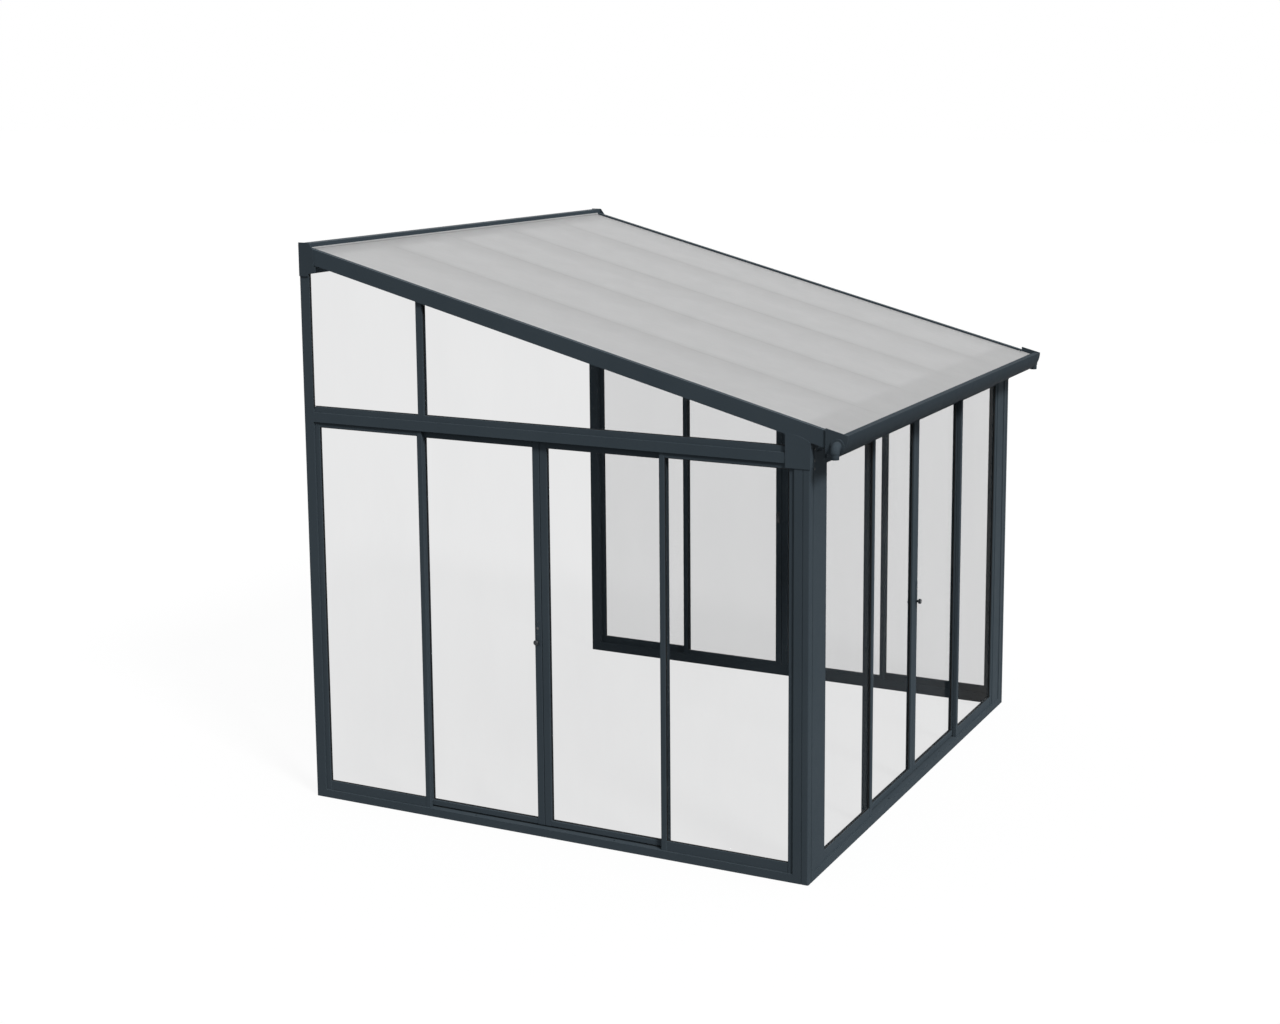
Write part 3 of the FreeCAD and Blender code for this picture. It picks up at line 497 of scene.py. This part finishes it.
# which finish each piece of the frame takes
finishOf = {
    "roof_panel": "roofSheet",
    "fixed_panes": "clearSheet",
    "door_pane": "clearSheet",
    "transom_panes": "clearSheet",
    "door_shoes": "shoeNylon",
    "latch": "latchCoating",
    "corner_plates": "barCoating",
    "ledger_caps": "mouldedCap",
    "gutter_caps": "mouldedCap",
    "outlet_elbows": "mouldedCap",
    "gutter": "gutterCoating",
    "eaves_beam": "roofCoating",
    "gable_rafter": "roofCoating",
    "roof_rafter": "roofCoating",
    "wall_ledger": "roofCoating",
}


def finishFor(name):
    fits = [start for start in finishOf if name.startswith(start)]
    return finishOf[max(fits, key=len)] if fits else "barCoating"


for name, node in nodes.items():
    node.data.materials.clear()
    node.data.materials.append(looks[finishFor(name)])
print("frame pieces finished")


# small fittings, shaped by hand on the frame
handwork = {
    "touch": 1e-5,                # room for rounding when edges and faces are picked by place
    "facing": 0.99,               # least part of a normal for a face that looks one way
    "longEdge": 0.1,              # an edge longer than this runs along its strip
    "roundSteps": 2,
    "smoothAngle": 35,            # degrees, past which an edge stays sharp
}
touch = handwork["touch"]


def begin(addPrimitive, scale=(1, 1, 1), **shape):
    # nothing else stays selected while a new piece is shaped
    bpy.ops.object.select_all(action="DESELECT")
    addPrimitive(**shape)
    piece = bpy.context.object
    piece.scale = scale
    bpy.ops.object.transform_apply(location=True, rotation=True, scale=True)
    return piece


def beginStrip(low, high):
    # a block from corner to corner
    middle = [(start + end) / 2 for start, end in zip(low, high)]
    size = [end - start for start, end in zip(low, high)]
    return begin(bpy.ops.mesh.primitive_cube_add, size, size=1, location=middle)


def pick(piece, wanted, kind="FACE"):
    # edit mode, with only the wanted faces or edges selected
    bpy.ops.object.mode_set(mode="EDIT")
    bpy.ops.mesh.select_mode(type=kind)
    bpy.ops.mesh.select_all(action="DESELECT")
    bpy.ops.object.mode_set(mode="OBJECT")
    for part in piece.data.polygons if kind == "FACE" else piece.data.edges:
        part.select = wanted(part)
    bpy.ops.object.mode_set(mode="EDIT")


def ends(piece, edge):
    return [piece.data.vertices[index].co for index in edge.vertices]


def thicken(piece, thickness, side):
    # side is 1 outwards, -1 inwards and 0 for half of the wall each way
    bpy.ops.object.mode_set(mode="OBJECT")
    wall = piece.modifiers.new("wall", "SOLIDIFY")
    wall.thickness = thickness
    wall.offset = side
    wall.use_even_offset = True
    bpy.ops.object.modifier_apply(modifier="wall")


def roundEdges(piece, width):
    bpy.ops.object.mode_set(mode="OBJECT")
    soften = piece.modifiers.new("roundEdges", "BEVEL")
    soften.width = width
    soften.segments = handwork["roundSteps"]
    soften.limit_method = "ANGLE"
    bpy.ops.object.modifier_apply(modifier="roundEdges")


def roundAlong(piece, axis, width):
    # rounds a strip's edges that run along one axis
    def runsAlong(edge):
        start, end = ends(piece, edge)
        return abs(end[axis] - start[axis]) > handwork["longEdge"]

    pick(piece, runsAlong, "EDGE")
    bpy.ops.mesh.bevel(offset=width, segments=handwork["roundSteps"])
    bpy.ops.object.mode_set(mode="OBJECT")


def fit(piece, name, body, finish):
    # smooth, finished and riding on its body
    if bpy.context.mode != "OBJECT":
        bpy.ops.object.mode_set(mode="OBJECT")
    bpy.ops.object.shade_smooth_by_angle(angle=math.radians(handwork["smoothAngle"]))
    piece.name = name
    piece.data.name = name
    piece.data.materials.clear()
    piece.data.materials.append(looks[finish])
    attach(piece, body)


def moveTo(piece, spot, turn):
    piece.location = spot
    piece.rotation_euler = (0, 0, math.radians(turn))
    bpy.ops.object.transform_apply(location=True, rotation=True, scale=True)


def copyTo(master, spot, turn):
    bpy.ops.object.select_all(action="DESELECT")
    master.select_set(True)
    bpy.context.view_layer.objects.active = master
    bpy.ops.object.duplicate(linked=False)
    piece = bpy.context.object
    moveTo(piece, spot, turn)
    return piece


# screw heads, seen from -Y while they are shaped
postScrew = {
    "sides": 24, "radius": 0.0060, "height": 0.0030, "rim": 0.0012, "rimSteps": 3,
    "socket": 0.0032, "socketDepth": 0.0016, "socketTaper": (0.72, 1, 0.72),
    "inFromEdge": 0.046,
    "levels": (2.082, 2.030, 1.992),
}
lockScrew = {
    "sides": 24, "radius": 0.0034, "height": 0.0014, "rim": 0.0006, "rimSteps": 3,
    "socket": 0.0018, "socketDepth": 0.0010, "socketTaper": (0.72, 1, 0.72),
    "levels": (1.101, 1.037),
}


def shapeHead(shape):
    # a disc with a rounded rim, its front face left selected
    front = -shape["height"]
    head = begin(bpy.ops.mesh.primitive_cylinder_add, vertices=shape["sides"], radius=shape["radius"],
                 depth=shape["height"], location=(0, front / 2, 0), rotation=(quarterTurn, 0, 0))
    pick(head, lambda edge: all(co.y < front + touch for co in ends(head, edge)), "EDGE")
    bpy.ops.mesh.bevel(offset=shape["rim"], segments=shape["rimSteps"])
    pick(head, lambda face: face.center.y < front + touch and face.normal.y < -handwork["facing"])
    return head


def shapeScrew(shape):
    head = shapeHead(shape)
    socketFloor = (0, shape["socketDepth"] - shape["height"], 0)
    bpy.ops.mesh.inset(thickness=shape["radius"] - shape["rim"] - shape["socket"])
    bpy.ops.mesh.extrude_region_move(TRANSFORM_OT_translate={"value": (0, shape["socketDepth"], 0)})
    bpy.ops.transform.resize(value=shape["socketTaper"], center_override=socketFloor)
    bpy.ops.object.mode_set(mode="OBJECT")
    return head


def makePostScrews():
    master = shapeScrew(postScrew)
    for name, side in gables:
        low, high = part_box(f"corner_post_{name.lower()}")
        across = low.x + postScrew["inFromEdge"] if side < 0 else high.x - postScrew["inFromEdge"]
        for count, level in enumerate(postScrew["levels"], start=1):
            screw = copyTo(master, (across, low.y, level), 0)
            fit(screw, f"postScrew{name}{count}", "frame", "screwCoating")
    bpy.data.objects.remove(master)


makePostScrews()
print("post screws set")


# lock plates: two screws and a key barrel on each
lockDepth = 0.027                 # from the face of a wall to the face of its lock plate
lockFace = {
    "front": {"door": "door_front_right", "spot": (lockOffset, frontLine + lockDepth), "turn": 0},
    "left": {"door": "door_left_rear", "spot": (lockDepth - sideLine, doorLine + lockOffset), "turn": -90},
    "right": {"door": "door_right_rear", "spot": (sideLine - lockDepth, doorLine + lockOffset), "turn": 90},
}
keyBarrel = {
    "sides": 32, "radius": 0.0066, "height": 0.0016, "rim": 0.0005, "rimSteps": 2,
    "face": 0.0012, "slot": (0.16, 1, 0.74), "slotDepth": 0.0022,
    "level": 1.069,
}


def shapeBarrel(shape):
    barrel = shapeHead(shape)
    bpy.ops.mesh.inset(thickness=shape["face"])
    bpy.ops.mesh.inset(thickness=shape["face"])
    bpy.ops.transform.resize(value=shape["slot"], center_override=(0, -shape["height"], 0))
    bpy.ops.mesh.extrude_region_move(TRANSFORM_OT_translate={"value": (0, shape["slotDepth"], 0)})
    bpy.ops.object.mode_set(mode="OBJECT")
    return barrel


def makeLocks():
    screw = shapeScrew(lockScrew)
    barrel = shapeBarrel(keyBarrel)
    for wall, lock in lockFace.items():
        label = wall.capitalize()
        for count, level in enumerate(lockScrew["levels"], start=1):
            piece = copyTo(screw, (*lock["spot"], level), lock["turn"])
            fit(piece, f"lockScrew{label}{count}", lock["door"], "screwCoating")
        piece = copyTo(barrel, (*lock["spot"], keyBarrel["level"]), lock["turn"])
        fit(piece, f"keyBarrel{label}", lock["door"], "barrelSteel")
    bpy.data.objects.remove(screw)
    bpy.data.objects.remove(barrel)


makeLocks()
print("lock plates dressed")


# outlet elbows: a ring on the collar, spun down a quarter turn and drawn out to the spigot
outletElbow = {
    "collarFace": 1.541,
    "line": (frontLine - 0.137, 2.117),   # y and z of the middle of the collar
    "sides": 48,
    "radius": 0.0225,
    "bend": 0.026,
    "bendSteps": 14,
    "stop": 2.087,                # flat stop for the downpipe
    "spigot": 0.0200,
    "foot": 2.060,
    "footBevel": 0.0015,
    "footTaper": 0.95,
    "wall": 0.003,
}


def makeElbow(side):
    shape = outletElbow
    y, z = shape["line"]
    start = side * shape["collarFace"]
    pipe = begin(bpy.ops.mesh.primitive_circle_add, vertices=shape["sides"], radius=shape["radius"],
                 fill_type="NOTHING", location=(start, y, z), rotation=(0, quarterTurn, 0))
    bpy.ops.object.mode_set(mode="EDIT")
    bpy.ops.mesh.select_all(action="SELECT")
    turned = z - shape["bend"]
    bpy.ops.mesh.spin(steps=shape["bendSteps"], angle=-side * quarterTurn, center=(start, y, turned),
                      axis=(0, 1, 0))
    middle = (start + side * shape["bend"], y, turned)
    pick(pipe, lambda edge: all(co.z < turned + touch for co in ends(pipe, edge)), "EDGE")
    for length, narrow in (
        (shape["stop"] - turned, 1),
        (0, shape["spigot"] / shape["radius"]),
        (shape["foot"] + shape["footBevel"] - shape["stop"], 1),
        (-shape["footBevel"], shape["footTaper"]),
    ):
        bpy.ops.mesh.extrude_region_move(TRANSFORM_OT_translate={"value": (0, 0, length)})
        bpy.ops.transform.resize(value=(narrow, narrow, 1), center_override=middle)
    bpy.ops.mesh.select_all(action="SELECT")
    bpy.ops.mesh.normals_make_consistent(inside=False)
    thicken(pipe, shape["wall"], -1)
    return pipe


def makeElbows():
    left, right = makeElbow(-1), makeElbow(1)
    bpy.ops.object.select_all(action="DESELECT")
    right.select_set(True)
    left.select_set(True)
    bpy.context.view_layer.objects.active = left
    bpy.ops.object.join()
    fit(left, "outletElbows", "frame", "mouldedCap")
    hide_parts("outlet_elbows")


makeElbows()
print("outlet elbows bent")


# rubber beads round the panes, one on each face
seal = {
    "width": 0.0025,
    "proud": 0.0025,
    "round": 0.0007,
    "bite": 0.009,                # how far the pane stands in its bars
    "headerTop": 2.093,
    "rafterFoot": 2.120,          # height of the rafters' underside at the front line
    "transomLine": 1.495,         # middle of the transom panes
    "transomHalf": 0.0015,
    "transoms": {"Front": (0.080, 2.101), "Rear": (2.135, 2.7825)},   # behind the front line
}


def shapeSeal(low, high, across, cutBy=None):
    # low and high are the corners of the clear opening, across is the axis through the pane
    size = high - low
    turn = quarterTurn if across == 0 else 0
    bead = begin(bpy.ops.mesh.primitive_plane_add, (size[1 - across], size.z, 1), size=1,
                 location=(low + high) / 2, rotation=(quarterTurn, 0, turn))
    bpy.ops.object.mode_set(mode="EDIT")
    bpy.ops.mesh.select_all(action="SELECT")
    if cutBy:
        spot, normal = cutBy
        bpy.ops.mesh.bisect(plane_co=spot, plane_no=normal, clear_outer=True)
    bpy.ops.mesh.select_mode(type="FACE")
    bpy.ops.mesh.select_all(action="SELECT")
    bpy.ops.mesh.inset(thickness=seal["width"], use_even_offset=True)
    bpy.ops.mesh.delete(type="FACE")
    bpy.ops.mesh.select_all(action="SELECT")
    outward = Vector((1, 0, 0)) if across == 0 else Vector((0, -1, 0))
    half = size[across] / 2
    bpy.ops.transform.translate(value=outward * half)
    bpy.ops.mesh.duplicate_move(TRANSFORM_OT_translate={"value": outward * -2 * half})
    bpy.ops.mesh.flip_normals()
    thicken(bead, seal["proud"], 1)
    roundEdges(bead, seal["round"])
    return bead


def paneBoxes(name, along):
    # the panes of one node, split at the middle of their wall where it holds two
    points = [vertex.co for vertex in nodes[name].data.vertices]
    places = [point[along] for point in points]
    middle = (min(places) + max(places)) / 2
    groups = [points]
    if name.startswith("fixed"):
        groups = [[p for p in points if p[along] < middle], [p for p in points if p[along] > middle]]
    for group in groups:
        yield (Vector([min(p[axis] for p in group) for axis in range(3)]),
               Vector([max(p[axis] for p in group) for axis in range(3)]))


def makePaneSeals(name):
    kind, *words = name.split("_")
    along = 0 if words[1] == "front" else 1
    body = "frame" if kind == "fixed" else name.replace("door_pane", "door")
    label = "".join(word.capitalize() for word in words)
    for count, (low, high) in enumerate(paneBoxes(name, along), start=1):
        for axis in (along, 2):
            low[axis] += seal["bite"]
            high[axis] -= seal["bite"]
        bead = shapeSeal(low, high, 1 - along)
        fit(bead, f"{kind}Seal{label}{count}", body, "sealRubber")


def makeTransomSeals(name, side):
    foot = seal["rafterFoot"]
    line, half = side * seal["transomLine"], seal["transomHalf"]
    for place, (first, last) in seal["transoms"].items():
        low = Vector((line - half, frontLine + first, seal["headerTop"]))
        high = Vector((line + half, frontLine + last, foot + roofSlope * last))
        bead = shapeSeal(low, high, 0, ((0, frontLine, foot), (0, -roofSlope, 1)))
        fit(bead, f"transomSeal{name}{place}", "frame", "sealRubber")


for name in sorted(nodes):
    if name.startswith(("fixed_panes", "door_pane")):
        makePaneSeals(name)
for name, side in gables:
    makeTransomSeals(name, side)
print("panes sealed")


# spacer strips that hold the rear transom panes behind the wall posts
transomStop = {
    "inFromFace": (0.005, 0.0285),
    "fromWall": (0.047, 0.0405),
    "heights": (2.084, 2.831),
    "round": 0.001,
}


def makeTransomStops():
    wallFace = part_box("wall_post_left")[1].y
    near, far = (wallFace - reach for reach in transomStop["fromWall"])
    low, high = transomStop["heights"]
    for name, side in gables:
        face = max(abs(corner.x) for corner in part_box(f"wall_post_{name.lower()}"))
        first, last = sorted(side * (face - reach) for reach in transomStop["inFromFace"])
        strip = beginStrip((first, near, low), (last, far, high))
        roundAlong(strip, 2, transomStop["round"])
        fit(strip, f"transomStop{name}", "frame", "sealRubber")


makeTransomStops()
print("transom panes held")


# brush pile that closes the slit between each pair of doors
meetingBrush = {
    "thick": 0.006,
    "reach": (-0.0011, 0.0015),   # from the middle of the slit, to its two sides
    "heights": (0.056, 2.025),
    "inFromFace": 0.044,          # from the face of a wall to the middle of its doors
    "round": 0.0006,
}


def makeBrushes():
    half = meetingBrush["thick"] / 2
    low, high = meetingBrush["heights"]
    inFromFace = meetingBrush["inFromFace"]
    slits = {
        "front": (0, frontLine + inFromFace, 0),
        "left": (inFromFace - sideLine, doorLine, 0),
        "right": (sideLine - inFromFace, doorLine, 0),
    }
    for wall, slit in slits.items():
        side = -1 if wall == "left" else 1
        first, last = sorted(side * reach for reach in meetingBrush["reach"])
        brush = beginStrip((first, -half, low), (last, half, high))
        roundAlong(brush, 2, meetingBrush["round"])
        moveTo(brush, slit, lockFace[wall]["turn"])
        fit(brush, f"meetingBrush{wall.capitalize()}", lockFace[wall]["door"], "brushPile")


makeBrushes()
print("door brushes set")


# folded strips that close the open ends of the roof sheets over the gutter
sheetTrim = {"wall": 0.0012, "lap": 0.008, "sheet": 0.010, "round": 0.0004, "inset": 0.0003}


def makeSheetTrim(number):
    low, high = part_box(f"roof_panel_{number}")
    wall = sheetTrim["wall"]
    wide = high.x - low.x - 2 * sheetTrim["inset"]
    tall = sheetTrim["sheet"] + wall
    middle = low.z + sheetTrim["sheet"] / 2
    strip = begin(bpy.ops.mesh.primitive_plane_add, (wide, tall, 1), size=1, rotation=(quarterTurn, 0, 0),
                  location=((low.x + high.x) / 2, low.y - wall / 2, middle))
    lap = (0, sheetTrim["lap"], sheetTrim["lap"] * roofSlope)
    for above in (True, False):
        pick(strip, lambda edge: all((co.z > middle) == above and co.y < low.y
                                     for co in ends(strip, edge)), "EDGE")
        bpy.ops.mesh.extrude_region_move(TRANSFORM_OT_translate={"value": lap})
    bpy.ops.mesh.select_all(action="SELECT")
    bpy.ops.mesh.normals_make_consistent(inside=False)
    thicken(strip, wall, 0)
    roundEdges(strip, sheetTrim["round"])
    fit(strip, f"sheetTrim{number}", "frame", "roofCoating")


sheetCount = sum(name.startswith("roof_panel") for name in nodes)
for number in range(1, sheetCount + 1):
    makeSheetTrim(number)
print("roof sheets closed")


# foam strip that closes the slit under the ledger's hood
hoodFiller = {
    "half": 1.4965,
    "fromWall": (0.0578, 0.0542),
    "heights": (2.9037, 2.9134),
    "drop": 0.0008,               # of the front lower edge, which follows the slope of the sheets
    "round": 0.0005,
}


def makeHoodFiller():
    near, far = (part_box("wall_ledger")[1].y - reach for reach in hoodFiller["fromWall"])
    low, high = hoodFiller["heights"]
    half = hoodFiller["half"]
    strip = beginStrip((-half, near, low), (half, far, high))
    pick(strip, lambda edge: all(co.z < low + touch and co.y < near + touch
                                 for co in ends(strip, edge)), "EDGE")
    bpy.ops.transform.translate(value=(0, 0, -hoodFiller["drop"]))
    roundAlong(strip, 0, hoodFiller["round"])
    fit(strip, "hoodFiller", "frame", "fillerFoam")


makeHoodFiller()
print("ledger closed")
